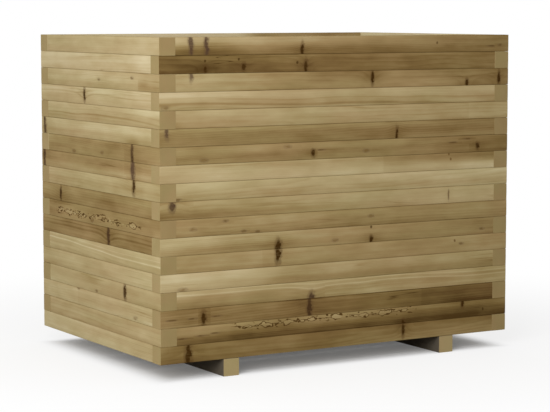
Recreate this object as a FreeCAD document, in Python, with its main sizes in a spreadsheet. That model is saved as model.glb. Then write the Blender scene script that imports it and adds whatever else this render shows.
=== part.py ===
import FreeCAD, Part
import os
import re
import Sketcher

# Raised planter: square pine battens stacked in courses on two runners, with a slatted floor inside.
# Millimetres. X runs left to right, Y front to back, Z up. The origin lies on the ground under the
# middle of the planter.
#
# Each course is four battens round a rectangle. A batten laps over one corner and butts against its
# neighbour at the other, and every second course runs the other way round.

SIZES = {
    # Outside of the walls
    "planter_length": 900,
    "planter_width": 600,
    # Wall battens
    "course_count": 18,
    "batten_thickness": 38,
    "batten_height": 38,
    "edge_ease": 1.5,
    # Runners under the front and back walls, set in from the ends
    "runner_thickness": 38,
    "runner_height": 38,
    "runner_inset": 150,
    # Floor boards lying on the runners
    "board_count": 5,
    "board_thickness": 18,
    "drain_gap": 8,
    "board_end_gap": 2,
    # Countersunk screws of the walls and runners
    "wall_screw_diameter": 5,
    "wall_screw_head": 10,
    "wall_screw_socket": 4,
    "wall_screw_bite": 22,
    # Places of the screws in a wall batten: the corner screw off the middle of the corner block, the
    # middle screw off the middle of the wall, the butt screw in from the butt end
    "corner_screw_offset": 7,
    "middle_screw_offset": 40,
    "butt_screw_inset": 40,
    # Countersunk screws of the floor, set in from the long edges of each board
    "floor_screw_diameter": 4,
    "floor_screw_head": 8,
    "floor_screw_socket": 3,
    "floor_screw_bite": 20,
    "floor_screw_inset": 24,
    # Room round a screw in its hole
    "screw_clearance": 0.3,
}

UP = FreeCAD.Vector(0, 0, 1)
SIDEWAYS = FreeCAD.Vector(1, 0, 0)

doc = FreeCAD.newDocument("RaisedPlanter")
sheet = doc.addObject("Spreadsheet::Sheet", "Sizes")
for row, (size_name, value) in enumerate(SIZES.items(), start=1):
    sheet.set(f"A{row}", size_name)
    sheet.set(f"B{row}", str(value))
    sheet.setAlias(f"B{row}", size_name)
doc.recompute()

course_count = int(sheet.course_count)
board_count = int(sheet.board_count)

# Sizes that follow from the ones in the sheet
WALL_X = "(planter_length - batten_thickness) / 2"
WALL_Y = "(planter_width - batten_thickness) / 2"
RUNNER_X = "(planter_length / 2 - runner_inset - runner_thickness / 2)"
BOARD_LENGTH = "(planter_length - 2 * batten_thickness - 2 * board_end_gap)"
BOARD_PITCH = "((planter_width - 2 * batten_thickness - drain_gap) / board_count)"
BOARD_WIDTH = f"({BOARD_PITCH} - drain_gap)"
BOARD_SCREW_Y = f"({BOARD_WIDTH} / 2 - floor_screw_inset)"
WALL_HOLE = "(wall_screw_diameter + 2 * screw_clearance)"
WALL_SINK = "(wall_screw_head + 2 * screw_clearance)"
WALL_PILOT = "(wall_screw_bite + screw_clearance)"
FLOOR_HOLE = "(floor_screw_diameter + 2 * screw_clearance)"
FLOOR_SINK = "(floor_screw_head + 2 * screw_clearance)"
FLOOR_PILOT = "(floor_screw_bite + screw_clearance)"


def in_sheet(formula):
    """The formula with each size name pointing at its cell."""
    return re.sub(r"[a-z]+(?:_[a-z]+)+", lambda word: f"Sizes.{word.group()}", formula)


def bind(target, size, formula):
    target.setExpression(size, in_sheet(formula))


def origin_plane(body):
    return next(feature for feature in body.Origin.OriginFeatures if feature.Role == "XY_Plane")


def timber(name, start, length, width, height):
    """A planed timber along X, standing on z = 0 and centred on y = 0, with its long edges eased."""
    body = doc.addObject("PartDesign::Body", name)
    stock = body.newObject("PartDesign::AdditiveBox", f"{name}_stock")
    stock.AttachmentSupport = [(origin_plane(body), "")]
    stock.MapMode = "FlatFace"
    bind(stock, "Length", length)
    bind(stock, "Width", width)
    bind(stock, "Height", height)
    bind(stock, "AttachmentOffset.Base.x", start)
    bind(stock, "AttachmentOffset.Base.y", f"-({width}) / 2")
    doc.recompute()
    long_edges = []
    for number, edge in enumerate(stock.Shape.Edges, start=1):
        if abs(edge.tangentAt(edge.FirstParameter).dot(SIDEWAYS)) > 0.99:
            long_edges.append(f"Edge{number}")
    eased = body.newObject("PartDesign::Fillet", f"{name}_eased_edges")
    eased.Base = (stock, long_edges)
    bind(eased, "Radius", "edge_ease")
    doc.recompute()
    return body


def drill(body, name, centres, diameter, face="0", depth=None, head=None, from_below=False):
    """Holes at the centres, started at the height of the face: blind if a depth is given, and
    countersunk if a head is given."""
    sketch = body.newObject("Sketcher::SketchObject", f"{name}_centres")
    sketch.AttachmentSupport = [(origin_plane(body), "")]
    sketch.MapMode = "FlatFace"
    bind(sketch, "AttachmentOffset.Base.z", face)
    for number, (x, y) in enumerate(centres, start=1):
        circle = sketch.addGeometry(Part.Circle(FreeCAD.Vector(number, number, 0), UP, 1), False)
        sketch.addConstraint(Sketcher.Constraint("Radius", circle, 1))
        for axis, place in (("X", x), ("Y", y)):
            distance = Sketcher.Constraint(f"Distance{axis}", -1, 1, circle, 3, number)
            constraint = sketch.addConstraint(distance)
            sketch.renameConstraint(constraint, f"{axis}{number}")
            bind(sketch, f"Constraints.{axis}{number}", place)
    doc.recompute()
    hole = body.newObject("PartDesign::Hole", name)
    hole.Profile = sketch
    hole.Reversed = from_below
    doc.recompute()
    hole.ThreadType = "None"
    bind(hole, "Diameter", diameter)
    if head:
        hole.HoleCutType = "Countersink"
        hole.HoleCutCustomValues = True
        hole.HoleCutCountersinkAngle = 90
        bind(hole, "HoleCutDiameter", head)
    if depth:
        hole.DepthType = "Dimension"
        hole.DrillPoint = "Flat"
        bind(hole, "Depth", depth)
    else:
        hole.DepthType = "ThroughAll"
    volume_before = hole.BaseFeature.Shape.Volume
    doc.recompute()
    if not hole.Shape.Volume < volume_before:
        raise RuntimeError(f"{name} cut nothing")


def wood_screw(name, kind, length):
    """A countersunk wood screw with a hexagon socket, pointing down, its head flush with z = 0."""
    diameter = f"{kind}_screw_diameter"
    head = f"{kind}_screw_head"
    head_height = f"(({head} - {diameter}) / 2)"
    tip_height = diameter
    solids = (
        ("head", "Part::Cone", f"-{head_height}", head_height, f"{diameter} / 2", f"{head} / 2"),
        ("tip", "Part::Cone", f"-({length})", tip_height, "0", f"{diameter} / 2"),
        ("shank", "Part::Cylinder", f"{tip_height} - ({length})",
         f"{length} - {tip_height} - {head_height}", f"{diameter} / 2", None),
    )
    pieces = []
    for part_name, shape, base, height, low_radius, high_radius in solids:
        solid = doc.addObject(shape, f"{name}_{part_name}")
        bind(solid, "Placement.Base.z", base)
        bind(solid, "Height", height)
        if high_radius:
            bind(solid, "Radius1", low_radius)
            bind(solid, "Radius2", high_radius)
        else:
            bind(solid, "Radius", low_radius)
        pieces.append(solid)
    blank = doc.addObject("Part::MultiFuse", f"{name}_blank")
    blank.Shapes = pieces
    blank.Refine = True
    socket = doc.addObject("Part::Prism", f"{name}_socket")
    socket.Polygon = 6
    bind(socket, "Circumradius", f"{kind}_screw_socket / 2")
    bind(socket, "Height", head_height)
    bind(socket, "Placement.Base.z", f"-{head_height}")
    screw = doc.addObject("Part::Cut", name)
    screw.Base = blank
    screw.Tool = socket
    return screw


def placed(piece, x, y, z, turn=0, upside_down=False):
    link = doc.addObject("App::Link", f"{piece.Name}_placed")
    link.setLink(piece)
    rotation = FreeCAD.Rotation(UP, turn)
    if upside_down:
        rotation = rotation.multiply(FreeCAD.Rotation(SIDEWAYS, 180))
    link.Placement = FreeCAD.Placement(FreeCAD.Vector(0, 0, 0), rotation)
    bind(link, "Placement.Base.x", x)
    bind(link, "Placement.Base.y", y)
    bind(link, "Placement.Base.z", z)
    return link


nodes = []


def node(label, pieces):
    group = doc.addObject("Part::Compound", label)
    group.Label = label
    group.Links = pieces
    nodes.append(group)


# Wall battens, drawn once each. A batten lies along X with its outer face towards -Y. The middle of
# the wall is x = 0, the lapped end is at the right and the butt end at the left.

def own_screws(span):
    """Places of the screws that fasten a batten to the course below."""
    block = f"({span} - batten_thickness) / 2"
    return (
        (f"{block} - corner_screw_offset", "-corner_screw_offset"),
        ("middle_screw_offset", "0"),
        (f"batten_thickness + butt_screw_inset - {span} / 2", "0"),
    )


def screws_from_above(span):
    """Places where the screws of the next course, which runs the other way, come into a batten."""
    block = f"({span} - batten_thickness) / 2"
    return (
        (f"{block} + corner_screw_offset", "corner_screw_offset"),
        ("-middle_screw_offset", "0"),
        (f"{span} / 2 - batten_thickness - butt_screw_inset", "0"),
    )


def wall_batten(name, span, level):
    start = f"batten_thickness - {span} / 2"
    body = timber(name, start, f"{span} - batten_thickness", "batten_thickness", "batten_height")
    if level != "lowest":
        drill(body, f"{name}_screw_holes", own_screws(span), WALL_HOLE, "batten_height", head=WALL_SINK)
    if level != "top":
        drill(body, f"{name}_pilots", screws_from_above(span), WALL_HOLE, "batten_height", depth=WALL_PILOT)
    if level == "lowest" and span == "planter_length":
        crossings = ((f"-{RUNNER_X}", "0"), (RUNNER_X, "0"))
        drill(body, f"{name}_runner_pilots", crossings, WALL_HOLE, depth=WALL_PILOT, from_below=True)
    other_hand = doc.addObject("Part::Mirroring", f"{name}_other_hand")
    other_hand.Source = body
    other_hand.Normal = SIDEWAYS
    return {False: body, True: other_hand}


SPANS = {"long": "planter_length", "short": "planter_width"}
battens = {}
for size_name, span in SPANS.items():
    for level in ("lowest", "middle", "top"):
        battens[size_name, level] = wall_batten(f"{size_name}_batten_{level}", span, level)

# A place on a wall batten, seen from above, turned to each side of the planter
WALLS = {
    "front": ("long", 0, lambda x, y: (x, f"({y}) - {WALL_Y}")),
    "back": ("long", 180, lambda x, y: (f"-({x})", f"{WALL_Y} - ({y})")),
    "left": ("short", -90, lambda x, y: (f"({y}) - {WALL_X}", f"-({x})")),
    "right": ("short", 90, lambda x, y: (f"{WALL_X} - ({y})", x)),
}

wall_screw = wood_screw("wall_screw", "wall", "(batten_height + wall_screw_bite)")
wall_screws = {wall: [] for wall in WALLS}
rim_screws = []

for course in range(1, course_count + 1):
    level = {1: "lowest", course_count: "top"}.get(course, "middle")
    mirrored = (course_count - course) % 2 == 1
    base = f"runner_height + {course - 1} * batten_height"
    laid = {"long": [], "short": []}
    for wall, (size_name, turn, on_wall) in WALLS.items():
        batten = battens[size_name, level][mirrored]
        laid[size_name].append(placed(batten, *on_wall("0", "0"), base, turn))
        if level == "lowest":
            continue
        screws = rim_screws if level == "top" else wall_screws[wall]
        for x, y in own_screws(SPANS[size_name]):
            along = f"-({x})" if mirrored else x
            screws.append(placed(wall_screw, *on_wall(along, y), f"{base} + batten_height"))
    node(f"course_{course:02d}_long_battens", laid["long"])
    node(f"course_{course:02d}_short_battens", laid["short"])

for wall, screws in wall_screws.items():
    node(f"{wall}_wall_screws", screws)
node("rim_screws", rim_screws)

# Floor boards, lengthwise, and the runners that carry them and the walls. A runner is drawn along X
# and turned to lie front to back.

board_screws = []
for side in ("-", ""):
    for edge in ("-", ""):
        board_screws.append((f"{side}{RUNNER_X}", f"{edge}{BOARD_SCREW_Y}"))
board = timber("board", f"-{BOARD_LENGTH} / 2", BOARD_LENGTH, BOARD_WIDTH, "board_thickness")
drill(board, "board_screw_holes", board_screws, FLOOR_HOLE, "board_thickness", head=FLOOR_SINK)

board_middles = []
for number in range(board_count):
    board_middles.append(f"({number} - (board_count - 1) / 2) * {BOARD_PITCH}")

floor_screw = wood_screw("floor_screw", "floor", "(board_thickness + floor_screw_bite)")
floor_screws = []
for number, middle in enumerate(board_middles, start=1):
    node(f"floor_board_{number}", [placed(board, "0", middle, "runner_height")])
    for x, y in board_screws:
        top = "runner_height + board_thickness"
        floor_screws.append(placed(floor_screw, x, f"{middle} + ({y})", top))
node("floor_screws", floor_screws)

runner = timber("runner", "-planter_width / 2", "planter_width", "runner_thickness", "runner_height")
crossings = ((f"-{WALL_Y}", "0"), (WALL_Y, "0"))
drill(runner, "runner_screw_holes", crossings, WALL_HOLE, head=WALL_SINK, from_below=True)
runner_pilots = []
for middle in board_middles:
    for edge in ("-", ""):
        runner_pilots.append((f"{middle} + ({edge}{BOARD_SCREW_Y})", "0"))
drill(runner, "runner_pilots", runner_pilots, FLOOR_HOLE, "runner_height", depth=FLOOR_PILOT)

runner_screw = wood_screw("runner_screw", "wall", "(runner_height + wall_screw_bite)")
runner_screws = []
for side_name, side in (("left", "-"), ("right", "")):
    node(f"{side_name}_runner", [placed(runner, f"{side}{RUNNER_X}", "0", "0", turn=90)])
    for along, _ in crossings:
        runner_screws.append(placed(runner_screw, f"{side}{RUNNER_X}", along, "0", upside_down=True))
node("runner_screws", runner_screws)

doc.recompute()
for part in doc.Objects:
    if {"Invalid", "Error"} & set(part.State):
        raise RuntimeError(f"{part.Label} did not build: {part.State}")

os.makedirs("parts", exist_ok=True)
for group in nodes:
    if group.Shape.isNull() or not group.Shape.isValid():
        raise RuntimeError(f"{group.Label} has no valid shape")
    group.Shape.exportStep(f"parts/{group.Label}.step")
    print(group.Label, len(group.Shape.Solids))
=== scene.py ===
# %% [markdown]
# # A raised planter of pine battens
# The planter is a box of square battens, laid course on course with the corners lapped by turns. It
# stands on two runners and has a slatted floor. It could be modelled from nothing, but the packed
# solids already hold every size and place, so this lesson dresses them: the same battens, with crowned
# faces, grain, knots and end grain. The solids come in first.

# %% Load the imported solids
import math
import random

import bpy
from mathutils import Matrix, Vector


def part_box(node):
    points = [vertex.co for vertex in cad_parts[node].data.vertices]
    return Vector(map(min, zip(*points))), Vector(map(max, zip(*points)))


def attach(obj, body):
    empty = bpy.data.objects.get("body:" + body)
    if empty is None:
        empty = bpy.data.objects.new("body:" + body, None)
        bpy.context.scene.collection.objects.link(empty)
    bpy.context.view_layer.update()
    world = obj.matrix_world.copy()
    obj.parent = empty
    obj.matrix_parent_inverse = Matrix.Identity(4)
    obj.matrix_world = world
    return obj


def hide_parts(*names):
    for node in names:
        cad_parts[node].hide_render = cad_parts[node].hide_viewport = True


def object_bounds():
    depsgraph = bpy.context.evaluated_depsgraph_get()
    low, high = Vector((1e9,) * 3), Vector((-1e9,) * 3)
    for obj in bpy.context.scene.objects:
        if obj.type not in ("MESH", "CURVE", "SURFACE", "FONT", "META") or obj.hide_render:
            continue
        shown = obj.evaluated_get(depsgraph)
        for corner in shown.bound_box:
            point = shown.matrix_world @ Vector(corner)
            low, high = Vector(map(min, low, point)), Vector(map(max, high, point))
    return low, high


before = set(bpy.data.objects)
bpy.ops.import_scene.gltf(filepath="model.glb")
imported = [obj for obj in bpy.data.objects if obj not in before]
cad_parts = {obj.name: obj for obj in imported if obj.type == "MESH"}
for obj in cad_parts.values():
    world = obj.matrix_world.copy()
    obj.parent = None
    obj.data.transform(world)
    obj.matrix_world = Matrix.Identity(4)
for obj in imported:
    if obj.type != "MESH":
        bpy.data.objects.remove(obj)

cad_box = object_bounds()
lowest, highest = cad_box
half_length, half_width = highest[0], highest[1]
print("solids:", len(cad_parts), "nodes, box", [list(corner) for corner in cad_box])

# %% [markdown]
# ## Sockets and colour ramps
# Grain, battens and screws are all made by node trees. Two small helpers come first: one finds a
# socket, because some nodes have several of the same name of which only one is in use, and one sets the
# stops of a colour ramp.


# %% Find a socket, set a ramp
def find_socket(sockets, key):
    """A socket by its number, or the enabled one with this identifier or name."""
    if isinstance(key, int):
        return sockets[key]
    for socket in sockets:
        if socket.enabled and key in (socket.identifier, socket.name):
            return socket
    raise KeyError(key)


def set_stops(ramp, stops):
    while len(ramp.elements) < len(stops):
        ramp.elements.new(1.0)
    for element, (position, colour) in zip(ramp.elements, stops):
        element.position = position
        element.color = colour


print("sockets are found by number, identifier or name")

# %% [markdown]
# ## Node trees as sums
# Trees could be wired node by node, but in a script that is long and hard to read. So one small class
# wraps a socket: adding or multiplying two wires makes the Math node, and `node` makes any other kind,
# its settings first and then the values or links of its sockets. It serves shader trees and geometry
# trees alike.


# %% A wire that can be added, multiplied and linked
class Wire:
    """An output socket that takes part in Python sums."""

    def __init__(self, tree, socket=None):
        self.tree = tree
        self.socket = socket

    def node(self, kind, settings=None, sockets=None, out=0):
        made = self.tree.nodes.new(kind)
        for name, value in (settings or {}).items():
            if name == "stops":
                set_stops(made.color_ramp, value)
            else:
                setattr(made, name, value)
        for key, value in (sockets or {}).items():
            target = find_socket(made.inputs, key)
            for item in value if isinstance(value, list) else [value]:
                if isinstance(item, Wire):
                    self.tree.links.new(item.socket, target)
                else:
                    target.default_value = item
        return Wire(self.tree, find_socket(made.outputs, out) if len(made.outputs) else None)

    def math(self, operation, *values):
        return self.node("ShaderNodeMath", {"operation": operation}, dict(enumerate(values)))

    def vector(self, operation, *values, out="Vector"):
        return self.node("ShaderNodeVectorMath", {"operation": operation}, dict(enumerate(values)), out)

    def xyz(self, x=0.0, y=0.0, z=0.0):
        return self.node("ShaderNodeCombineXYZ", None, {"X": x, "Y": y, "Z": z})

    def parts(self):
        split = self.tree.nodes.new("ShaderNodeSeparateXYZ")
        self.tree.links.new(self.socket, split.inputs[0])
        return [Wire(self.tree, output) for output in split.outputs]

    def __add__(self, other):
        return self.math("ADD", self, other)

    __radd__ = __add__

    def __sub__(self, other):
        return self.math("SUBTRACT", self, other)

    def __rsub__(self, other):
        return self.math("SUBTRACT", other, self)

    def __mul__(self, other):
        return self.math("MULTIPLY", self, other)

    __rmul__ = __mul__

    def __truediv__(self, other):
        return self.math("DIVIDE", self, other)

    def __pow__(self, other):
        return self.math("POWER", self, other)

    def __abs__(self):
        return self.math("ABSOLUTE", self)


def count(label, wire):
    print(label, len(wire.tree.nodes), "nodes")


print("wires take part in sums with + - * / ** and abs")

# %% [markdown]
# ## Colours as a painter mixes them
# The colours of timber and steel are written as they look on a screen, 0 to 255. A shader works in
# linear light, so one helper turns the first into the second.


# %% Screen colour to linear light
def screen(red, green, blue):
    linear = []
    for part in (red, green, blue):
        share = part / 255
        linear.append(share / 12.92 if share <= 0.04045 else ((share + 0.055) / 1.055) ** 2.4)
    return (*linear, 1.0)


print("mid timber in linear light:", [round(part, 3) for part in screen(150, 130, 90)])

# %% [markdown]
# ## Impregnated pine
# A batten is cut from a log, so its grain is a solid pattern: cut along at the face it gives streaks,
# cut across at the end it gives arcs. A picture wrapped round each batten would break at every arris.
# Instead the geometry below stores on each batten where a point lies in it (`place`), where the pith is
# (`log`), how pale it is (`tone`) and how far the nearest knot is (`to_knot`). One material reads these,
# so it serves all the timber, and every batten differs.

# %% Timber: what each point knows
timber = bpy.data.materials.new("impregnated_pine")


def empty_tree(owner):
    """Clears the node tree of a material or a world, and gives the wire that starts it."""
    owner.use_nodes = True
    owner.node_tree.nodes.clear()
    return Wire(owner.node_tree)


def stored(name):
    """The three parts of a stored vector; a stored number comes three times."""
    return grain.node("ShaderNodeAttribute", {"attribute_name": name}, out="Vector").parts()


grain = empty_tree(timber)
along, across, up = stored("place")
pith_across, pith_up, seed = stored("log")
shade, tone_lift_and_top_light, drift = stored("tone")
knot_along, knot_across, knot_up = stored("to_knot")
knot_width, knot_height, knot_dark = stored("knot")
speck_along, speck_across, speck_up = stored("to_speck")
speck_width, speck_height, speck_dark = stored("speck")
joint_at, joint_step, joint_soft = stored("joint")
track_start, track_end, track_up = stored("track")
single_numbers = ("twist", "vein_radius", "vein_tone", "end_shade", "end_grain")
twist, vein_radius, vein_tone, end_shade, end_grain = [stored(name)[0] for name in single_numbers]

SEED_SHIFTS = (11.0, 3.3, 5.1)
in_log = grain.xyz(*[part + seed * shift for part, shift in zip((along, across, up), SEED_SHIFTS)])
count("timber that reads its story:", grain)

# %% [markdown]
# ## Noise that follows the grain
# Wood varies slowly along a batten and quickly across it. Noise in coordinates drawn out along the
# grain does that at any size, with no picture. It is given in waves to a metre, along and across. A
# soft step and a soft hill are the two other helpers that all the patterns below are made with.


# %% Timber: drawn-out noise, soft steps and soft hills
def wood_noise(along_waves, across_waves, detail=2.0):
    """Noise drawn out along the grain, from about -0.5 to 0.5."""
    stretched = grain.vector("MULTIPLY", in_log, (along_waves, across_waves, across_waves))
    settings = {"Vector": stretched, "Scale": 1.0, "Detail": detail}
    return grain.node("ShaderNodeTexNoise", None, settings) - 0.5


def fade(value, low, high, least=0.0, most=1.0):
    """The least at low, the most at high, smooth between; low may be the larger."""
    limits = {"Value": value, "From Min": low, "From Max": high, "To Min": least, "To Max": most}
    return value.node("ShaderNodeMapRange", {"interpolation_type": "SMOOTHSTEP"}, limits)


def hill(value):
    """1 where the value is 0, falling away on both sides."""
    return value.math("EXPONENT", value * value * -1.0)


ragged = wood_noise(170.0, 170.0, 3.0)
wobble = wood_noise(55.0, 55.0, 1.0)
patchy = wood_noise(60.0, 260.0)
wander = wood_noise(2.4, 9.0)
count("timber with its first noises:", grain)

# %% [markdown]
# ## Knots, stains and specks
# A branch leaves a knot: a dark core, a rim where bark was caught, and a halo drawn out along the
# grain. It is planed flush with the face, so it needs no mesh of its own: its core is all that lies
# within a ragged distance of the knot's middle. A mark too faint to have a core is only a stain, and a
# speck is a small core by itself.

# %% Timber: knots, stains and specks
KNOT_DEPTH = 0.014
CORE_EDGE, CORE_FULL = 1.15, 0.65
STAIN_DARK, CORE_DARK = 0.36, 0.45


def distance(x, y, z=0.0):
    return grain.vector("LENGTH", grain.xyz(x, y, z), out="Value")


spread_along = knot_along / knot_width + ragged * 1.4 + wobble * 1.5
spread_up = knot_up / knot_height
spread_in = knot_across / KNOT_DEPTH
from_knot = distance(spread_along, spread_up, spread_in) + ragged * 0.7
is_stain = fade(knot_dark, CORE_DARK, STAIN_DARK)
core_dark = knot_dark - is_stain * knot_dark
broken = patchy * (1.0 - knot_dark) * 4.0
knot_core = fade(from_knot + broken, CORE_EDGE, CORE_FULL) * core_dark * (0.97 + patchy * 0.7)
knot_rim = hill((from_knot - CORE_EDGE) * 2.4) * core_dark
knot_halo = hill(spread_along * 0.15) * hill(spread_up * 0.75) * hill(spread_in * 0.8) * knot_dark
stain = hill(knot_along / knot_width) * hill(spread_up) * hill(spread_in) * is_stain
from_speck = distance(
    speck_along / speck_width + ragged, speck_up / speck_height + wobble, speck_across / KNOT_DEPTH)
speck_core = fade(from_speck + ragged * 0.5, 1.25, 0.5) * speck_dark
count("timber with knots:", grain)

# %% [markdown]
# ## Growth rings
# A trunk adds a ring a year, pale at first and dark late in the season. The rings are shells round the
# pith, wavy along the log, and they swell round each knot. Drawn lines would not meet at an arris, so
# the ring of a point comes from its distance to the pith, on a face and on an end alike.

# %% Timber: growth rings
RING_WIDTH = 0.0036
RING_WANDER = 0.016
LOG_TAPER = 0.008
KNOT_SWELLING = 0.0045
swelling = knot_dark * KNOT_SWELLING * hill(spread_along * 0.2) * hill(spread_up * 0.4)
swelling = swelling * hill(spread_in * 0.6)
pith_distance = distance(across - pith_across, up - pith_up)
ring_radius = pith_distance + wander * RING_WANDER + along * LOG_TAPER + swelling
ring = grain.math("FRACT", ring_radius / RING_WIDTH + wood_noise(1.2, 30.0) * 1.4)
plain_wood = fade(wood_noise(1.6, 22.0), 0.12, -0.1)
late_wood = ring ** 2.2 * fade(ring, 1.0, 0.88) * (1.0 - plain_wood * 0.7)
count("timber with rings:", grain)

# %% [markdown]
# ## Streaks, clouds and cracks
# Over the rings, planed pine shows long streaks, cloudy patches and fine fibres, and here and there a
# dark grain line or a drying crack. Each is a noise of its own. The lines are the places where a noise
# crosses zero, which wander and end as real ones do.

# %% Timber: streaks, clouds, grain lines and cracks
streaks = wood_noise(1.5, 75.0, 3.0)
fibres = wood_noise(18.0, 900.0)
clouds = wood_noise(5.0, 16.0, 3.0)
blotches = wood_noise(14.0, 40.0, 3.0)


def thin_line(pattern, width):
    return fade(abs(pattern), width, 0.0)


grain_line = thin_line(wood_noise(0.9, 42.0), 0.014) * fade(wood_noise(3.0, 24.0), 0.0, 0.14)
crack_line = thin_line(wood_noise(3.0, 60.0, 1.0), 0.006) * fade(wood_noise(2.2, 18.0), 0.13, 0.2)
count("timber with streaks and cracks:", grain)

# %% [markdown]
# ## Insect tracks and resin veins
# Two battens were cut where insects fed under the bark: pale flakes in a row, with gnawed dark outlines
# and bored spots. A few others have a pale or dark vein along one growth ring. Both are drawn by
# distance, from the middle line of the track and from the ring of the vein.

# %% Timber: insect tracks and resin veins
TRACK_TAPER = 0.02
FLAKE_MOST, FLAKE_GAP = 0.0075, 0.0006
SECOND_VEIN = 0.0055
on_outer_face = fade(across, -0.012, -0.017)
in_track = fade(along, track_start, track_start + TRACK_TAPER) * on_outer_face
in_track = in_track * fade(along, track_end, track_end - TRACK_TAPER)
from_track = abs(up - track_up + wood_noise(7.0, 7.0, 1.0) * 0.014 + ragged * 0.006)
flake_half = fade(abs(wood_noise(24.0, 40.0)), 0.0, 0.16) * FLAKE_MOST - FLAKE_GAP
from_flake = from_track - flake_half
flake = fade(from_flake, 0.0, -0.0012) * in_track
gnawed = fade(abs(from_flake), 0.0014, 0.0004) * fade(wood_noise(24.0, 60.0, 1.0), -0.2, 0.0)
bored = fade(wood_noise(80.0, 190.0, 1.0), 0.115, 0.2) * fade(from_track, 0.01, 0.005)
track_line = grain.math("MAXIMUM", gnawed, bored) * in_track
past_vein = ring_radius - vein_radius
vein = hill(past_vein / 0.0009) + hill((past_vein - SECOND_VEIN) / 0.0007) * 0.7
count("timber with tracks and veins:", grain)

# %% [markdown]
# ## The tone of a point
# All of this adds up to one number, the tone, from 0 for dark to 1 for pale. The batten's tone comes
# first: paler in one half of its height, mostly the upper, which is partly painted top light, drifting
# along its length, with a step where two lengths are joined; on one rim batten the step is painted
# light. Then each pattern adds its share, among them a painted seam shade along the arrises. The sawn
# ends drink more and have a tone of their own.

# %% Timber: the tone
beyond_joint = fade(along, joint_at - joint_soft, joint_at + joint_soft)
upper_half = fade(up + wander * 0.02, -0.014, 0.014) - 0.5
# darker along the upper and lower arrises, where the battens meet: painted seam shade, partly grime
seam_shade_and_grime = fade(abs(up), 0.0168, 0.019)
FACE_SHARES = (
    (streaks, 0.36), (clouds, 0.36), (blotches, 0.28), (fibres, 0.08),
    (late_wood, -0.1), (grain_line, -0.16), (vein, vein_tone), (flake, 0.1),
    (knot_halo, -0.1), (stain, -0.2), (crack_line, -0.25), (track_line, -0.66), (seam_shade_and_grime, -0.1))
END_SHARES = ((clouds, 0.1), (fibres, 0.1), (late_wood, -0.12))


def add_shares(total, shares):
    for pattern, share in shares:
        total = total + pattern * share
    return total


# the lift of the upper half over the lower is partly painted top light, partly the wood's own tone
face_tone = shade + (tone_lift_and_top_light + twist * along) * upper_half * 2.0 + drift * along + beyond_joint * joint_step
face_tone = add_shares(face_tone, FACE_SHARES)
end_tone = add_shares(shade * 0.06 + end_shade, END_SHARES)
tone = face_tone + (end_tone - face_tone) * end_grain
print("patterns in the tone:", len(FACE_SHARES), "on a face,", len(END_SHARES), "on an end")

# %% [markdown]
# ## From tone to colour
# The salts of the tank leave pine olive brown, greener in some patches than in others. One ramp of
# colours would look printed, so two ramps read the same tone, a browner and a greener one, and a slow
# noise mixes them. Sawn ends are a little greener still, and the runners' sides take a dark grey brown:
# painted shade under the planter.


# %% Timber: the colour
def blend(base, colour, share):
    mixed = {"Factor": share, "A": base, "B": colour}
    return grain.node("ShaderNodeMix", {"data_type": "RGBA"}, mixed, "Result")


def ramp(value, *stops):
    """Colours by value; a stop is its place and its screen colour."""
    linear = [(place, screen(*colour)) for place, *colour in stops]
    return value.node("ShaderNodeValToRGB", {"stops": linear}, {"Fac": value})


brown_side = ramp(
    tone, (0.0, 86, 60, 29), (0.25, 129, 103, 62), (0.5, 162, 136, 93), (0.75, 186, 165, 123),
    (1.0, 209, 193, 156))
green_side = ramp(
    tone, (0.0, 81, 60, 28), (0.25, 126, 103, 60), (0.5, 157, 137, 91), (0.75, 183, 166, 122),
    (1.0, 207, 194, 153))
salts = fade(wood_noise(3.5, 14.0) + streaks * 0.4, -0.24, 0.24)
timber_colour = blend(brown_side, green_side, salts)
sawn_green = screen(152, 152, 118)
timber_colour = blend(timber_colour, sawn_green, end_grain * 0.09)
# the runners' sides, of tone 0, are blended to dark grey brown: painted shade under the planter
runner_shade_grey = screen(96, 88, 76)
soaked = fade(shade, 0.12, 0.0) * (1.0 - end_grain)
timber_colour = blend(timber_colour, runner_shade_grey, soaked)
count("timber with its colours:", grain)

# %% [markdown]
# ## The colour of the knots
# Knots take the salts unlike the wood round them: faint ones are russet, some are plum, and the darkest
# are a deep brown. The stored darkness picks the colour, so no knot needs a material of its own.

# %% Timber: the colour of the knots
plum_rim, brown_rim = screen(94, 71, 58), screen(86, 60, 32)
rim_colour = blend(plum_rim, brown_rim, fade(knot_dark, 0.8, 0.95))
timber_colour = blend(timber_colour, rim_colour, knot_rim * 0.45)
core_colour = ramp(
    knot_dark, (0.45, 108, 78, 37), (0.7, 84, 60, 28), (0.76, 80, 58, 46), (0.86, 78, 56, 44),
    (0.92, 62, 40, 10))
timber_colour = blend(timber_colour, core_colour, grain.math("MAXIMUM", knot_core, speck_core))
count("timber with coloured knots:", grain)

# %% [markdown]
# ## A planed, dry surface
# Impregnated pine is matte: it hardly mirrors anything. The planer leaves the fibres standing a little,
# the late wood sunken and the knots proud, and cracks and tracks are open. These are tenths of a
# millimetre at most, too fine for a mesh, so they are bump.

# %% Timber: roughness, relief and the finished shader
relief = fibres * 0.5 - late_wood * 0.35 + knot_core * 0.3 - crack_line * 1.5 - track_line
bumped = grain.node("ShaderNodeBump", None, {
    "Height": relief, "Strength": 0.5, "Distance": 0.0004}, "Normal")
planed = grain.node("ShaderNodeBsdfPrincipled", None, {
    "Base Color": timber_colour, "Roughness": 0.8 + fibres * 0.15 - knot_core * 0.1,
    "Specular IOR Level": 0.03, "Normal": bumped})
planed.node("ShaderNodeOutputMaterial", None, {"Surface": planed})
count("finished timber:", grain)

# %% [markdown]
# ## Points that carry a batten's story
# Each batten starts as one point. The point stores which way the batten is turned and the log it was
# cut from, and more points mark its knots and its screw holes. Points are easy to place from a list,
# and a geometry tree can read what they store.

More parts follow.
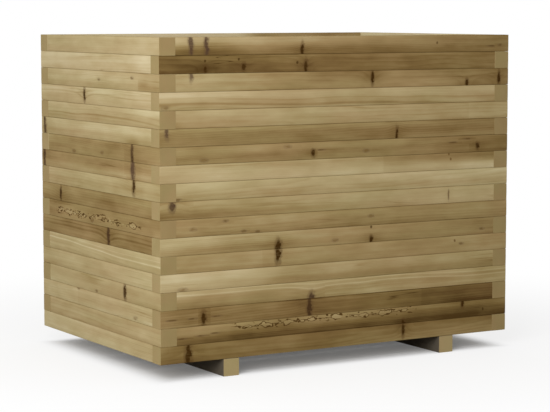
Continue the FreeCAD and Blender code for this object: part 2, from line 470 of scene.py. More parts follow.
# %% Clouds of points
BATTEN_POINT, KNOT_POINT, SPECK_POINT, SINK_POINT = 0.0, 1.0, 2.0, 3.0
STORED_NUMBERS = ("kind", "turn", "tip", "twist", "vein_radius", "vein_tone", "end_shade")
STORED_VECTORS = ("log", "tone", "joint", "track", "mark")


def point_cloud(name, rows):
    cloud = bpy.data.meshes.new(name)
    cloud.from_pydata([row["at"] for row in rows], [], [])
    for key in STORED_NUMBERS:
        numbers = cloud.attributes.new(key, "FLOAT", "POINT")
        for item, row in zip(numbers.data, rows):
            item.value = row.get(key, 0.0)
    for key in STORED_VECTORS:
        vectors = cloud.attributes.new(key, "FLOAT_VECTOR", "POINT")
        for item, row in zip(vectors.data, rows):
            item.vector = row.get(key, (0.0, 0.0, 0.0))
    return cloud


print("a point stores", len(STORED_NUMBERS), "numbers and", len(STORED_VECTORS), "vectors")

# %% [markdown]
# ## The outline of a batten
# A planed batten is a long bar with slightly crowned faces and eased arrises, cut square at the ends.
# It could be a scaled cube with a bevel, but a swept outline gives rings of faces along the length,
# which carry the knots, and the same tree serves battens, runners and floor boards. The outline is a
# rectangle with rounded corners, whose sides are pulled in a little towards the corners.


# %% Batten tree: the outline
def geometry_tree(name, sizes):
    """The wire that starts a new tree, and its inputs by name."""
    tree = bpy.data.node_groups.new(name, "GeometryNodeTree")
    tree.interface.new_socket("Geometry", in_out="OUTPUT", socket_type="NodeSocketGeometry")
    tree.interface.new_socket("Points", in_out="INPUT", socket_type="NodeSocketGeometry")
    for size, value in sizes.items():
        socket = tree.interface.new_socket(size, in_out="INPUT", socket_type="NodeSocketFloat")
        socket.default_value = value
    opening = tree.nodes.new("NodeGroupInput")
    return Wire(tree), {socket.name: Wire(tree, socket) for socket in opening.outputs if socket.name}


lay, size = geometry_tree("lay_battens", {
    "Length": 0.862, "Width": 0.038, "Height": 0.038, "Ease": 0.0005, "End ease": 0.00015,
    "Crown": 0.0002, "Ring spacing": 0.01, "Sink head": 0.0106, "Sink turn": 0.0})
SIDE_CUTS = 3
half_side, half_rise = size["Width"] * 0.5, size["Height"] * 0.5
number = lay.node("GeometryNodeInputIndex")
position = lay.node("GeometryNodeInputPosition")
outline = lay.node("GeometryNodeCurvePrimitiveQuadrilateral", {"mode": "RECTANGLE"}, {
    "Width": size["Width"], "Height": size["Height"]})
outline = lay.node("GeometryNodeSubdivideCurve", None, {"Curve": outline, "Cuts": SIDE_CUTS})
is_corner = lay.math("LESS_THAN", lay.math("MODULO", number, SIDE_CUTS + 1.0), 0.5)
outline = lay.node("GeometryNodeFilletCurve", {"mode": "POLY"}, {
    "Curve": outline, "Count": 3, "Radius": is_corner * size["Ease"]})
side, rise = position.parts()[:2]
crowned = lay.xyz(
    side - side / half_side * size["Crown"] * (rise / half_rise) ** 2.0,
    rise - rise / half_rise * size["Crown"] * (side / half_side) ** 2.0)
outline = lay.node("GeometryNodeSetPosition", None, {"Geometry": outline, "Position": crowned})
count("batten tree with its outline:", lay)

# %% [markdown]
# ## The bar
# The outline is swept along a straight spine with a ring every centimetre or so. A saw leaves the ends
# sharper than the planer leaves the arrises, so the first and the last ring stand on the very ends, a
# hair smaller, and the next ones a hair further in.

# %% Batten tree: the bar
rings = lay.math("FLOOR", size["Length"] / size["Ring spacing"]) + 4.0
spine = lay.node("GeometryNodeCurvePrimitiveLine", None, {"End": (1.0, 0.0, 0.0)})
spine = lay.node("GeometryNodeResampleCurve", None, {"Curve": spine, "Count": rings})
station = ((number - 1.0) / (rings - 3.0) - 0.5) * (size["Length"] - size["End ease"] * 2.0)
station = lay.math("MINIMUM", station, size["Length"] * 0.5)
station = lay.math("MAXIMUM", station, size["Length"] * -0.5)
spine = lay.node("GeometryNodeSetPosition", None, {"Geometry": spine, "Position": lay.xyz(station)})
spine = lay.node("GeometryNodeSetCurveNormal", {"mode": "Z_UP"}, {"Curve": spine})
is_end = lay.node("GeometryNodeCurveEndpointSelection", None, {"Start Size": 1, "End Size": 1})
bar = lay.node("GeometryNodeCurveToMesh", None, {
    "Curve": spine, "Profile Curve": outline, "Fill Caps": True,
    "Scale": 1.0 - is_end * (size["End ease"] / half_side)})
count("batten tree with its bar:", lay)

# %% [markdown]
# ## Screw holes
# The screws of the rim, the floor and the runners sit in countersunk holes. A dark disc would do from
# afar, but a hole has depth from every side, so a cone is cut out of the bar at each of its sink points,
# before the bar is copied. The cone is turned half a facet, so that no corner of it meets the middle
# edge of the bar, and it carries none of what the points store.

# %% Batten tree: screw holes
SINK_SIDES, SINK_DEPTH, SINK_RADIUS, SINK_PROUD = 24, 0.0045, 0.0028, 0.0002


def named(wire, name, form="FLOAT"):
    return wire.node("GeometryNodeInputNamedAttribute", {"data_type": form}, {"Name": name}, "Attribute")


def of_kind(kind):
    """The points of one kind."""
    picked = lay.math("LESS_THAN", abs(named(lay, "kind") - kind), 0.5)
    return lay.node("GeometryNodeSeparateGeometry", {"domain": "POINT"}, {
        "Geometry": size["Points"], "Selection": picked}, "Selection")


sink = lay.node("GeometryNodeMeshCone", None, {
    "Vertices": SINK_SIDES, "Radius Top": SINK_RADIUS, "Radius Bottom": size["Sink head"] * 0.5,
    "Depth": SINK_DEPTH}, "Mesh")
sink = lay.node("GeometryNodeTransform", None, {
    "Geometry": sink, "Rotation": (math.pi, 0.0, math.pi / SINK_SIDES),
    "Translation": (0.0, 0.0, SINK_PROUD)})
sinks = lay.node("GeometryNodeInstanceOnPoints", None, {
    "Points": of_kind(SINK_POINT), "Instance": sink, "Rotation": lay.xyz(size["Sink turn"])})
sinks = lay.node("GeometryNodeRealizeInstances", None, {"Geometry": sinks})
for stored_name in STORED_NUMBERS + STORED_VECTORS:
    sinks = lay.node("GeometryNodeRemoveAttribute", None, {"Geometry": sinks, "Name": stored_name})
bar = lay.node("GeometryNodeMeshBoolean", {"operation": "DIFFERENCE", "solver": "MANIFOLD"}, {
    "Mesh 1": bar, "Mesh 2": sinks}, "Mesh")
count("batten tree with its holes:", lay)

# %% [markdown]
# ## Soft arrises, and a bar that knows itself
# The crowned faces are shaded smooth, and the edges of the sawn ends and the holes stay sharp. Then the
# bar stores where each of its points lies and which of its faces are end grain. That is done before the
# bar is copied, so that every copy has the same account of itself.

# %% Batten tree: arrises and the stored place
SHARP_ANGLE = 0.6
END_FACING = 0.9


def store(shape, name, form, domain, value):
    return lay.node("GeometryNodeStoreNamedAttribute", {"data_type": form, "domain": domain}, {
        "Geometry": shape, "Name": name, "Value": value})


bar = lay.node("GeometryNodeSetShadeSmooth", {"domain": "FACE"}, {"Geometry": bar, "Shade Smooth": True})
edge_angle = lay.node("GeometryNodeInputMeshEdgeAngle", out="Unsigned Angle")
bar = lay.node("GeometryNodeSetShadeSmooth", {"domain": "EDGE"}, {
    "Geometry": bar, "Shade Smooth": lay.math("LESS_THAN", edge_angle, SHARP_ANGLE)})
bar = store(bar, "place", "FLOAT_VECTOR", "POINT", position)
facing_along = abs(lay.node("GeometryNodeInputNormal", out="Normal").parts()[0])
bar = store(bar, "end_grain", "FLOAT", "FACE", lay.math("GREATER_THAN", facing_along, END_FACING))
count("batten tree with its stored place:", lay)

# %% [markdown]
# ## Copies on their points
# The bar is copied to each batten point and turned as the point says, and the copies take over what it
# stores. Knots lie on faces, so each face looks up its nearest knot and its nearest speck. Each corner
# of a face then stores the way from that mark, in the batten's own directions.

# %% Batten tree: copies, each face told of its nearest knot
battens = lay.node("GeometryNodeInstanceOnPoints", None, {
    "Points": of_kind(BATTEN_POINT), "Instance": bar, "Rotation": lay.xyz(z=named(lay, "turn"))})
battens = lay.node("GeometryNodeRealizeInstances", None, {"Geometry": battens})


def tell_nearest(shape, marks, name):
    """Stores on each face the size of its nearest mark, and on each corner the way from that mark."""
    nearest = lay.node("GeometryNodeSampleNearest", {"domain": "POINT"}, {"Geometry": marks})
    nearest = lay.node("GeometryNodeFieldOnDomain", {"data_type": "INT", "domain": "FACE"}, {
        "Value": nearest})
    sampled = {"data_type": "FLOAT_VECTOR", "domain": "POINT"}
    centre = lay.node("GeometryNodeSampleIndex", sampled, {
        "Geometry": marks, "Value": position, "Index": nearest})
    extent = lay.node("GeometryNodeSampleIndex", sampled, {
        "Geometry": marks, "Value": named(lay, "mark", "FLOAT_VECTOR"), "Index": nearest})
    away = lay.node("ShaderNodeVectorRotate", {"rotation_type": "Z_AXIS"}, {
        "Vector": lay.vector("SUBTRACT", position, centre), "Angle": named(lay, "turn") * -1.0})
    shape = store(shape, "to_" + name, "FLOAT_VECTOR", "CORNER", away)
    return store(shape, name, "FLOAT_VECTOR", "FACE", extent)


def end_tree(shape, material):
    painted = shape.node("GeometryNodeSetMaterial", None, {"Geometry": shape, "Material": material})
    painted.node("NodeGroupOutput", None, {0: painted})
    count(shape.tree.name, shape)


battens = tell_nearest(battens, of_kind(KNOT_POINT), "knot")
battens = tell_nearest(battens, of_kind(SPECK_POINT), "speck")
end_tree(battens, timber)

# %% [markdown]
# ## From points to a plain mesh
# The tree is run by a modifier on an object that holds the points. Its named sizes are set by their
# identifiers, so that one tree serves pieces of several sizes. The result is kept as a plain mesh on an
# object of its own, and the one with the modifier goes, because later steps need meshes that nothing
# changes any more.


# %% The mesh that a tree grows
def grow(name, rows, wire, sizes):
    """Runs a tree on points and keeps the result as a plain mesh object."""
    holder = bpy.data.objects.new(name + "_points", point_cloud(name, rows))
    bpy.context.scene.collection.objects.link(holder)
    modifier = holder.modifiers.new("grow", "NODES")
    modifier.node_group = wire.tree
    for item in wire.tree.interface.items_tree:
        if item.name in sizes:
            modifier[item.identifier] = sizes[item.name]
    graph = bpy.context.evaluated_depsgraph_get()
    grown = bpy.data.meshes.new_from_object(
        holder.evaluated_get(graph), preserve_all_data_layers=True, depsgraph=graph)
    bpy.data.objects.remove(holder)
    piece = bpy.data.objects.new(name, grown)
    bpy.context.scene.collection.objects.link(piece)
    return piece


print("sizes of the batten tree:", ", ".join(name for name in size if name != "Points"))

# %% [markdown]
# ## How each batten looks
# The boards came out of the tank unevenly: some took the salts deeply, some are still pale. One tone
# with chance round it would look like wallpaper, so the visible walls follow the real stack, course by
# course from the rim down, in plain words for the tone. The far walls draw their tone from
# the same words by chance, with a fixed seed.

# %% Tones of the courses
WORDS = "deep dark umber russet brown ochre honey tan straw sand cream pale chalk ivory".split()
TONES = {word: 0.22 + 0.05 * step for step, word in enumerate(WORDS)}
# the runners' tone, whose dark grey is painted shade under the planter
TONES["soaked"] = 0.0
# wall, course, tone; then in hundredths: upper half over lower, partly painted top light, drift along,
# change of the first along
# right 1 and back 1 are paler where light falls on the inner faces of the rim: painted light
COURSES_BY_EYE = """
front 1 brown 13 -20 -40, front 2 dark 2 18 -8, front 3 honey -1 -14 -7, front 4 sand 10 -6 -6,
front 5 straw 3 -5 -4, front 6 brown 2 0 -2, front 7 brown 3 -16 -6, front 8 sand -12 -22 -34,
front 9 sand 9 4 -5, front 10 tan 5 15 -14, front 11 ochre 4 -5 0, front 12 honey 5 -28 -10,
front 13 honey 3 0 0, front 14 cream 7 -15 5, front 15 tan 7 8 -22, front 16 dark 1 -34 0,
front 17 dark 12 -14 -6, front 18 umber -4 0 -18,
left 1 pale 3 14 0, left 2 ivory 3 0 0, left 3 cream 7 -14 0, left 4 pale 4 0 0,
left 5 cream 8 0 0, left 6 cream 8 0 0, left 7 ochre 0 0 0, left 8 honey -9 0 0,
left 9 sand 0 -20 0, left 10 brown 4 0 0, left 11 brown -3 0 0, left 12 brown 2 -12 0,
left 13 cream 4 0 0, left 14 cream 1 16 0, left 15 sand 0 0 0, left 16 pale 0 16 0,
left 17 sand 0 0 0, left 18 chalk 0 -26 0,
right 1 ivory 0 0 0, back 1 honey 0 0 0, under 1 soaked 0 0 0
"""
# wall, course, mm from the near corner, change in hundredths, half width of the change in mm
# the step on back 1 is painted light, a paler stretch of the rim's inner face
STEPS = """
front 3 230 -9 60, front 5 790 5 2, front 8 557 -5 2, front 14 240 -17 80, front 16 662 -4 2,
left 4 365 3 2, left 8 130 -3 2, left 16 410 -5 2, back 1 540 44 40
"""
# wall, course, mm from the near corner at both ends, mm above the middle line
TRACKS = "front 17 165 660 10, left 11 80 525 -2"
# wall, course, mm from the pith, tone in hundredths
VEINS = """
left 13 58 20, front 15 60 20,
front 4 53 -16, left 4 60 -12, left 5 53 -14, left 12 56 -14
"""


def rows_of(text):
    """The rows of a list written as text, with its number words as numbers."""
    rows = []
    for entry in text.strip().split(","):
        rows.append([word if word.isalpha() else float(word) for word in entry.split()])
    return rows


def by_batten(text):
    return {(wall, course): values for wall, course, *values in rows_of(text)}


tones_by_eye, steps, tracks, veins = map(by_batten, (COURSES_BY_EYE, STEPS, TRACKS, VEINS))
print("tones set by eye:", len(tones_by_eye), "battens")

# %% [markdown]
# ## The story of one batten
# A batten's point stores its tone, the place of its pith, its joint, track or vein if it has one, and a
# seed that makes its noise its own. What isn't listed is drawn by chance, always in the same order,
# so each run gives the same planter.

# %% The stored values of a batten
END_SHADES = {"front": 0.53, "back": 0.53, "left": 0.42, "right": 0.42, "under": 0.6, "floor": 0.5}
NO_JOINT = (1.0, 0.0, 0.002)
NO_TRACK = (1.0, 1.0, 0.0)
VEIN_PITH = (0.03, -0.03)
chance = random.Random(38)


def from_corner(wall, distance_mm, lap):
    """Place in the batten, along its length, of a mark measured from the near corner."""
    reach = distance_mm / 1000
    if wall == "front":
        return reach - half_length - lap
    return (half_width if wall == "left" else half_length) - reach - lap


def log_of(wall, course, lap=0.0):
    """The stored values of one batten; courses count from the rim down."""
    batten = (wall, course)
    # a drawn lift mostly makes the upper half paler: painted top light
    drawn = (chance.choice(WORDS), chance.uniform(-2, 10), chance.uniform(-15, 15), 0)
    word, upper, along_it, change = tones_by_eye.get(batten, drawn)
    pith = (chance.uniform(-0.03, 0.05), chance.choice((-1.0, 1.0)) * chance.uniform(0.01, 0.06))
    row = {"tone": (TONES[word], upper / 100, along_it / 100), "twist": change / 100}
    row.update({"end_shade": END_SHADES[wall], "joint": NO_JOINT, "track": NO_TRACK})
    if batten in steps:
        step_at, step, softness = steps[batten]
        row["joint"] = (from_corner(wall, step_at, lap), step / 100, softness / 1000)
    if batten in tracks:
        *ends, height = tracks[batten]
        row["track"] = (*sorted(from_corner(wall, end, lap) for end in ends), height / 1000)
    if batten in veins:
        pith = VEIN_PITH
        row["vein_radius"] = veins[batten][0] / 1000
        row["vein_tone"] = veins[batten][1] / 100
    row["log"] = (*pith, chance.uniform(0.0, 9.0))
    return row


print("battens with a joint, a track or a vein:", len({**steps, **tracks, **veins}))

# %% [markdown]
# ## Kinds of knot
# A branch in the trunk leaves a knot: round where the saw crossed it, a dark spike where the saw ran
# along it. On the two near walls the knots sit where the real stack shows them, measured from the near
# corner and from the batten's lower edge, in millimetres. Elsewhere they fall by chance.

# %% Kinds of knot, and where the near walls have them
MARKS = {  # half width along the batten, half height, darkness
    "speck": (0.0028, 0.0035, 0.75),
    "fleck": (0.0055, 0.0026, 0.6),
    "dash": (0.009, 0.0014, 0.7),
    "wedge": (0.0042, 0.0085, 1.0),
    "eye": (0.0075, 0.011, 0.88),
    "knot": (0.0048, 0.0075, 0.95),
    "slit": (0.0018, 0.01, 0.7),
    "spike": (0.0038, 0.015, 1.0),
    "plum": (0.0046, 0.014, 0.78),
    "tall": (0.005, 0.024, 0.85),
    "bar": (0.0052, 0.014, 1.0),
    "long": (0.0062, 0.03, 0.9),
    "swirl": (0.007, 0.0034, 0.5),
    "smear": (0.03, 0.012, 0.36),
    "branch": (0.0068, 0.017, 1.0),
    "stub": (0.0075, 0.026, 1.0),
    "post": (0.0078, 0.026, 0.84),
}
# course, mm from the near corner, mm above the lower edge, kind
FRONT_KNOTS = """
1 75 24 tall, 1 112 23 tall, 1 346 8 spike, 1 700 22 speck, 1 850 13 dash, 1 876 15 fleck,
2 110 8 knot, 2 108 26 speck, 2 189 29 speck, 2 201 13 knot, 2 333 20 speck, 2 355 9 spike,
3 75 38 plum, 3 527 23 spike, 3 783 6 wedge, 3 874 16 spike,
4 14 5 swirl, 6 17 34 plum, 6 592 8 spike,
7 104 8 swirl, 7 308 30 swirl, 7 374 14 knot, 7 393 20 dash,
7 511 14 swirl, 7 745 24 dash, 7 786 31 dash, 7 815 14 knot,
8 735 36 speck, 8 740 24 speck, 9 43 4 fleck, 10 29 29 eye, 10 735 19 slit,
11 78 16 swirl, 11 156 30 fleck, 11 200 6 fleck, 11 234 3 fleck, 11 525 21 swirl,
12 285 2 branch, 12 430 10 swirl, 12 525 6 wedge, 12 525 34 speck, 12 830 13 fleck,
13 285 26 branch, 13 753 28 speck, 13 773 20 fleck, 14 52 4 swirl, 15 369 3 eye,
16 26 17 dash, 16 76 17 dash, 16 102 16 bar, 16 134 18 dash, 16 365 18 long,
17 52 14 dash, 17 96 17 dash, 17 130 20 dash, 17 613 1 wedge, 17 777 33 wedge, 17 835 16 speck,
18 66 18 stub, 18 613 24 spike
"""
LEFT_KNOTS = """
3 68 14 smear, 3 126 27 fleck, 3 289 19 fleck, 4 364 21 bar,
6 127 2 smear, 6 581 19 long, 7 129 17 long, 7 276 11 swirl, 7 424 6 swirl,
8 125 19 post, 8 586 19 long, 9 122 26 branch, 10 497 18 bar, 11 330 8 swirl, 12 248 21 long,
15 168 20 branch, 15 312 5 fleck, 16 117 8 swirl, 16 407 37 fleck
"""


def knots_by_eye(text):
    """(course, from the corner, up, kind) of each knot, in metres."""
    return [(course, out / 1000, above / 1000, kind) for course, out, above, kind in rows_of(text)]


front_knots = knots_by_eye(FRONT_KNOTS)
left_knots = knots_by_eye(LEFT_KNOTS)
print("knots set by eye:", len(front_knots), "in front,", len(left_knots), "at the left")

# %% [markdown]
# ## Places on a wall
# All four walls are the same kind of stack, turned round the planter. So a place is first given on a
# wall, along it, in from it and up, and then turned into the planter's frame. The height of a batten
# and the number of courses are read from the solids.

# %% The stack, and places on its walls
first_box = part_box("course_01_long_battens")
BATTEN = first_box[1][2] - first_box[0][2]
COURSES = round((highest[2] - first_box[0][2]) / BATTEN)
TURNS = {"front": 0.0, "back": math.pi, "left": -math.pi / 2, "right": math.pi / 2}


def on_wall(turn, local_x, local_y, z):
    """A point of a wall in the planter's frame; a wall's outer face looks to its own -Y."""
    cosine, sine = round(math.cos(turn)), round(math.sin(turn))
    return (local_x * cosine - local_y * sine, local_x * sine + local_y * cosine, z)


print("courses:", COURSES, "of battens", round(BATTEN * 1000, 3), "mm high")

# %% [markdown]
# ## The knots of one batten
# The outer faces of the two near walls take their knots from the lists above. The other outer and inner
# faces get one to three by chance, except the clear inner faces of the two far battens of the rim. A
# mark becomes a point that stores its size and how dark it is.


# %% The knots of a batten
def knots_of(wall, course, span):
    """(along the wall from its middle, in from its middle line, up, kind) of a batten's knots."""
    outer, inner = -BATTEN / 2, BATTEN / 2
    found = []
    if wall == "front":
        found = [(out - span, outer, above, kind) for row, out, above, kind in front_knots if row == course]
    if wall == "left":
        found = [(span - out, outer, above, kind) for row, out, above, kind in left_knots if row == course]
    faces = [inner, outer]
    if wall in ("front", "left"):
        faces.remove(outer)
    elif course == 1:
        faces.remove(inner)
    for face in faces:
        for _ in range(chance.randint(1, 3)):
            kind = chance.choice(("speck", "knot", "spike", "swirl", "plum"))
            found.append((chance.uniform(-0.9, 0.9) * span, face, chance.uniform(0.004, 0.034), kind))
    return found


def mark_at(centre, kind):
    return {"at": centre, "kind": SPECK_POINT if kind == "speck" else KNOT_POINT, "mark": MARKS[kind]}


print("kinds of mark:", len(MARKS))

# %% [markdown]
# ## One course
# Every course has two long and two short battens. Each passes one corner and butts at the other, and
# the next course runs the other way round. The pair in a course is one piece, as in the solids: the
# two battens are the same shape turned half round, so one bar with its holes serves both. Hand-laid
# battens never line up quite, so each is sunk by a few tenths of a millimetre.

# %% How a course is laid
SUNK_LEAST, SUNK_MOST = 0.0001, 0.0004
CORNER_INSET, MIDDLE_SHIFT, BUTT_INSET = 0.007, 0.04, 0.04


def rim_places(span):
    """Where the screws of a top batten stand, from the wall's middle: lapped end, middle, butt end."""
    return ((span - BATTEN / 2 - CORNER_INSET, -CORNER_INSET),
            (MIDDLE_SHIFT, 0.0),
            (BUTT_INSET + BATTEN - span, 0.0))


def lay_course(course, walls, span, reach, name):
    """One pair of battens; courses count from the rim down."""
    bottom = highest[2] - course * BATTEN
    lap = BATTEN / 2 if course % 2 else -BATTEN / 2
    rows = []
    for wall in walls:
        turn = TURNS[wall]
        sunk = chance.uniform(SUNK_LEAST, SUNK_MOST)
        middle = on_wall(turn, lap, sunk - reach + BATTEN / 2, bottom + BATTEN / 2)
        rows.append({"at": middle, "kind": BATTEN_POINT, "turn": turn, **log_of(wall, course, lap)})
        for knot_x, face, knot_z, kind in knots_of(wall, course, span):
            centre = on_wall(turn, knot_x, face - reach + BATTEN / 2, bottom + knot_z)
            rows.append(mark_at(centre, kind))
    if course == 1:
        for screw_x, screw_y in rim_places(span):
            rows.append({"at": (screw_x - lap, screw_y, BATTEN / 2), "kind": SINK_POINT})
    return grow(name, rows, lay, {"Length": 2 * span - BATTEN, "Width": BATTEN, "Height": BATTEN})


print("screws in a rim batten:", len(rim_places(half_length)))

# %% [markdown]
# ## The walls
# The courses are laid from the rim down. Each pair rides on the planter's one body and stands for the
# pair of solids whose place it takes.


# %% Lay the walls
def finish_piece(piece, slot, *nodes):
    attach(piece, "root")
    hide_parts(*nodes)


# two walls, their battens' name, half the wall's length, and from the middle to the wall's outer face
PAIRS = (("front", "back", "long", half_length, half_width),
         ("left", "right", "short", half_width, half_length))
wall_faces = 0
for course in range(1, COURSES + 1):
    label = f"course_{COURSES + 1 - course:02d}"
    for wall, opposite, length_name, span, reach in PAIRS:
        pair = lay_course(course, (wall, opposite), span, reach, f"{label}_{wall}_and_{opposite}")
        finish_piece(pair, "batten_wood", f"{label}_{length_name}_battens")
        wall_faces += len(pair.data.polygons)
print("walls:", COURSES * len(PAIRS), "pairs of battens,", wall_faces, "faces")

# %% [markdown]
# ## Runners
# Two more battens under the walls are the feet. They are the same planed timber, so the batten tree
# makes them too, turned across and with their screw holes underneath. Their sides are out of the light,
# and their dark grey brown is painted shade.

# %% Runners
# left or right side, along, up, kind
RUNNER_MARKS = ((-1, -0.12, 0.02, "knot"), (1, 0.17, 0.03, "spike"))


def middle_and_extent(node_name):
    low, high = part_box(node_name)
    middle = [(a + b) / 2 for a, b in zip(low, high)]
    extent = [b - a for a, b in zip(low, high)]
    return middle, extent


for node_name in ("left_runner", "right_runner"):
    middle, (width, length, height) = middle_and_extent(node_name)
    rows = [{"at": middle, "kind": BATTEN_POINT, "turn": math.pi / 2, **log_of("under", 1)}]
    for facing, mark_y, mark_z, kind in RUNNER_MARKS:
        rows.append(mark_at((middle[0] + facing * width / 2, mark_y, mark_z), kind))
    for end in (-1, 1):
        rows.append({"at": (end * (half_width - BATTEN / 2), 0.0, -BATTEN / 2), "kind": SINK_POINT})
    runner = grow(node_name + "_timber", rows, lay, {
        "Length": length, "Width": width, "Height": height, "Sink turn": math.pi})
    finish_piece(runner, "runner_wood", node_name)
    print(node_name, "faces:", len(runner.data.polygons))

# %% [markdown]
# ## Floor boards
# Five boards on the runners are the floor, with gaps that drain the soil. The batten tree makes them
# wider and thinner. They are sunk by a hair, so that the screw heads stand clear of the wood.

# %% Floor boards
BOARDS = 5
BOARD_MARKS = 4
BOARD_SUNK = 0.0004
BOARD_SCREW_INSET = 0.024
FLOOR_SINK_HEAD = 0.0086
runner_x = middle_and_extent("right_runner")[0][0]
board_places = []
for board in range(1, BOARDS + 1):
    node_name = f"floor_board_{board}"
    low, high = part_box(node_name)
    middle, (length, width, thickness) = middle_and_extent(node_name)
    middle[2] -= BOARD_SUNK
    rows = [{"at": middle, "kind": BATTEN_POINT, **log_of("floor", board)}]
    for _ in range(BOARD_MARKS):
        centre = (chance.uniform(low[0], high[0]), chance.uniform(low[1], high[1]), high[2])
        rows.append(mark_at(centre, chance.choice(("knot", "speck", "swirl"))))
    screw_y = width / 2 - BOARD_SCREW_INSET
    for x in (-runner_x, runner_x):
        for y in (-screw_y, screw_y):
            rows.append({"at": (x, y, thickness / 2), "kind": SINK_POINT})
            board_places.append((x, y + middle[1], high[2]))
    plank = grow(node_name + "_timber", rows, lay, {
        "Length": length, "Width": width, "Height": thickness, "Sink head": FLOOR_SINK_HEAD})
    finish_piece(plank, "floor_wood", node_name)
print("floor boards:", BOARDS, "with screws to set:", len(board_places))

# %% [markdown]
# ## Zinc plated steel
# The screws are bright zinc gone dull: grey, with the mottled bloom of plating and fine scratches. A
# plain grey metal would look like plastic in this even light, so one noise varies its colour and
# roughness, and a finer one dents it.

# %% Zinc plated steel
zinc = bpy.data.materials.new("zinc_plated_steel")
plate = empty_tree(zinc)
spot = plate.node("ShaderNodeTexCoord", out="Object")
mottle = plate.node("ShaderNodeTexNoise", None, {"Vector": spot, "Scale": 420.0, "Detail": 3.0})
scratch = plate.node("ShaderNodeTexNoise", None, {"Vector": spot, "Scale": 2600.0, "Detail": 2.0})
dents = plate.node("ShaderNodeBump", None, {
    "Height": scratch, "Strength": 0.3, "Distance": 0.0002}, "Normal")
steel = plate.node("ShaderNodeBsdfPrincipled", None, {
    "Base Color": ramp(mottle, (0.3, 84, 81, 71), (0.7, 146, 142, 128)),
    "Metallic": 1.0, "Roughness": 0.3 + mottle * 0.25, "Normal": dents})
steel.node("ShaderNodeOutputMaterial", None, {"Surface": steel})
count("zinc plate:", plate)

# %% [markdown]
# ## A screw
# Countersunk screws hold the courses, the floor and the runners. One small tree makes a screw and
# copies it to its places: a cone for the head, with a six-lobed recess cut into it, and a tapered shank
# below. There are many, so each has only a few dozen faces.

# %% Screw tree
WALL_SCREW = {"Head": 0.01, "Shank": 0.005, "Length": 0.06, "Recess": 0.004}
RECESS_BOTTOM, RECESS_TOP = (0.0, 0.0, -0.0018), (0.0, 0.0, 0.001)
drive, screw = geometry_tree("drive_screws", WALL_SCREW)
head_depth = screw["Head"] * 0.28
star = drive.node("GeometryNodeCurveStar", None, {
    "Points": 6, "Inner Radius": screw["Recess"] * 0.36, "Outer Radius": screw["Recess"] * 0.5}, "Curve")
plunge = drive.node("GeometryNodeCurvePrimitiveLine", None, {"Start": RECESS_BOTTOM, "End": RECESS_TOP})
recess = drive.node("GeometryNodeCurveToMesh", None, {
    "Curve": plunge, "Profile Curve": star, "Fill Caps": True})


def cone(sides, top, bottom, depth, base):
    """A cut-off cone of these radii, standing on the height of its base."""
    made = drive.node("GeometryNodeMeshCone", None, {
        "Vertices": sides, "Radius Top": top, "Radius Bottom": bottom, "Depth": depth}, "Mesh")
    return drive.node("GeometryNodeTransform", None, {"Geometry": made, "Translation": drive.xyz(z=base)})


head = cone(32, screw["Head"] * 0.5, screw["Shank"] * 0.5, head_depth, head_depth * -1.0)
head = drive.node("GeometryNodeMeshBoolean", {"operation": "DIFFERENCE", "solver": "MANIFOLD"}, {
    "Mesh 1": head, "Mesh 2": recess}, "Mesh")
shank = cone(
    12, screw["Shank"] * 0.5, screw["Shank"] * 0.2, screw["Length"] - head_depth, screw["Length"] * -1.0)
whole = drive.node("GeometryNodeJoinGeometry", None, {"Geometry": [head, shank]})
screws = drive.node("GeometryNodeInstanceOnPoints", None, {
    "Points": screw["Points"], "Instance": whole,
    "Rotation": drive.xyz(named(drive, "tip"), 0.0, named(drive, "turn"))})
screws = drive.node("GeometryNodeRealizeInstances", None, {"Geometry": screws})
end_tree(screws, zinc)

# %% [markdown]
# ## Screws in their places
# Only the heads in the rim, in the floor and under the runners are ever seen, so these get new screws,
# each turned by chance as a driver leaves them. The screws inside the walls stay plain solids in the
# same finish.


# %% Set the rim, floor and runner screws
def set_screws(name, places, tip, sizes, node_name):
    rows = [{"at": at, "tip": tip, "turn": chance.uniform(0.0, 1.0)} for at in places]
    made = grow(name, rows, drive, sizes)
    finish_piece(made, "screw_steel", node_name)
    print(name, "screws:", len(places), "faces:", len(made.data.polygons))


rim = []
for wall, opposite, length_name, span, reach in PAIRS:
    for rim_wall in (wall, opposite):
        for screw_x, screw_y in rim_places(span):
            rim.append(on_wall(TURNS[rim_wall], screw_x, screw_y - reach + BATTEN / 2, highest[2]))
under = []
for x in (-runner_x, runner_x):
    for y in (BATTEN / 2 - half_width, half_width - BATTEN / 2):
        under.append((x, y, lowest[2]))
FLOOR_SCREW = {"Head": 0.008, "Shank": 0.004, "Length": 0.038, "Recess": 0.003}
set_screws("rim_screw_heads", rim, 0.0, WALL_SCREW, "rim_screws")
set_screws("floor_screw_heads", board_places, 0.0, FLOOR_SCREW, "floor_screws")
set_screws("runner_screw_heads", under, math.pi, WALL_SCREW, "runner_screws")
for wall in TURNS:
    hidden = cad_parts[wall + "_wall_screws"]
    hidden.data.materials.clear()
    hidden.data.materials.append(zinc)

# %% [markdown]
# ## The studio floor
# The planter stands on plain white paper. Enough light to make paper white would bleach the timber, so
# what the camera sees of the floor is a mix of lit paper and an even glow: mostly glow in the open, all
# glow far off, and little of it under the planter, where the drain gaps have to look dark. The lit part
# holds the shadow. Light that bounces from the floor to the timber meets a greyer paper.

# %% White paper floor
paper = bpy.data.materials.new("white_paper_floor")
sheet = empty_tree(paper)


def seen_directly(wire):
    """1 for what is seen by the camera, or mirrored or seen through glass; 0 for light on its way."""
    seen = wire.node("ShaderNodeLightPath", out="Is Camera Ray")
    for kind in ("Is Glossy Ray", "Is Transmission Ray"):
        seen = wire.math("MAXIMUM", seen, wire.node("ShaderNodeLightPath", out=kind))
    return seen


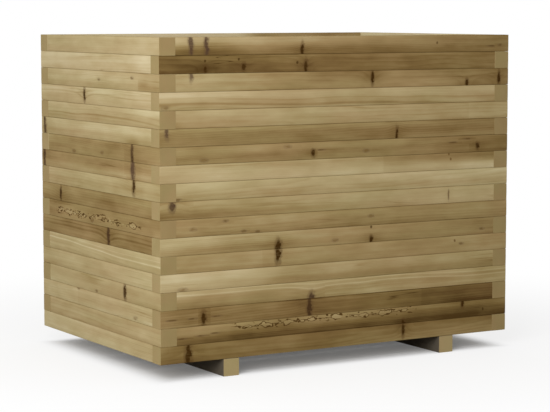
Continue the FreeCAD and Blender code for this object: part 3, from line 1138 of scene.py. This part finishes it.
on_floor = sheet.node("ShaderNodeTexCoord", out="Object")
floor_x, floor_y = on_floor.parts()[:2]
glow_share = fade(sheet.vector("LENGTH", on_floor, out="Value"), 0.5, 1.5, 0.75, 1.0)
footprint = sheet.math("MAXIMUM", abs(floor_x) / half_length, abs(floor_y) / half_width)
glow_share = glow_share * fade(footprint, 0.9, 1.06, 0.16, 1.0)
bounce = sheet.node("ShaderNodeBsdfDiffuse", None, {"Color": (0.36, 0.36, 0.35, 1.0)})
lit = sheet.node("ShaderNodeBsdfDiffuse", None, {"Color": (0.95, 0.95, 0.95, 1.0)})
glow = sheet.node("ShaderNodeEmission", None, {"Color": (1.0, 1.0, 1.0, 1.0), "Strength": 1.0})
white = sheet.node("ShaderNodeMixShader", None, {0: glow_share, 1: lit, 2: glow})
both = sheet.node("ShaderNodeMixShader", None, {0: seen_directly(sheet), 1: bounce, 2: white})
both.node("ShaderNodeOutputMaterial", None, {"Surface": both})

FLOOR_HALF = 12.0
floor_mesh = bpy.data.meshes.new("studio_floor")
signs = ((-1, -1), (1, -1), (1, 1), (-1, 1))
floor_mesh.from_pydata([(x * FLOOR_HALF, y * FLOOR_HALF, 0.0) for x, y in signs], [], [(0, 1, 2, 3)])
floor_mesh.materials.append(paper)
studio_floor = bpy.data.objects.new("studio_floor", floor_mesh)
scene = bpy.context.scene
scene.collection.objects.link(studio_floor)
count("paper floor:", sheet)

# %% [markdown]
# ## White paper behind
# Behind the floor is white paper too. It is the world: white where the camera sees it, and less bright
# where it lights the planter, so that the walls keep their difference of light and shade.

# %% The world
AMBIENT = 0.65
world = bpy.data.worlds.new("white_paper")
sky = empty_tree(world)
background = sky.node("ShaderNodeBackground", None, {
    "Color": (1.0, 1.0, 1.0, 1.0), "Strength": seen_directly(sky) * (1.0 - AMBIENT) + AMBIENT})
background.node("ShaderNodeOutputWorld", None, {"Surface": background})
scene.world = world
print("world: seen at 1, lighting at", AMBIENT)

# %% [markdown]
# ## Lamp and camera
# One broad lamp stands high at the left, so the short wall is the brighter one and no shadow has a hard
# edge. The camera looks from the front left corner at about the height of the rim, from far off with a
# long lens, as such pieces are pictured. It is tilted down a little and has no shift, because other
# views would keep the shift.

# %% Lamp, camera and view
LAMP_AIM = Vector((0.0, 0.0, 0.35))
soft_box = bpy.data.lights.new("soft_box", "AREA")
soft_box.shape = "RECTANGLE"
soft_box.size, soft_box.size_y = 1.8, 1.5
soft_box.energy = 70.0
soft_lamp = bpy.data.objects.new("soft_box", soft_box)
soft_lamp.location = (-2.4, -2.1, 1.5)
towards = LAMP_AIM - soft_lamp.location
soft_lamp.rotation_euler = towards.to_track_quat("-Z", "Y").to_euler()
scene.collection.objects.link(soft_lamp)

lens = bpy.data.cameras.new("photo_camera")
lens.lens = 125.3
lens.sensor_width = 36.0
photo_camera = bpy.data.objects.new("photo_camera", lens)
photo_camera.location = (-2.25644, -3.81877, 0.77575)
photo_camera.rotation_euler = (math.radians(84.186), 0.0, math.radians(-30.634))
scene.collection.objects.link(photo_camera)
scene.camera = photo_camera
scene.view_settings.view_transform = "Standard"
print("lamp at", round(towards.length, 2), "m, camera at", round(photo_camera.location.length, 2), "m")
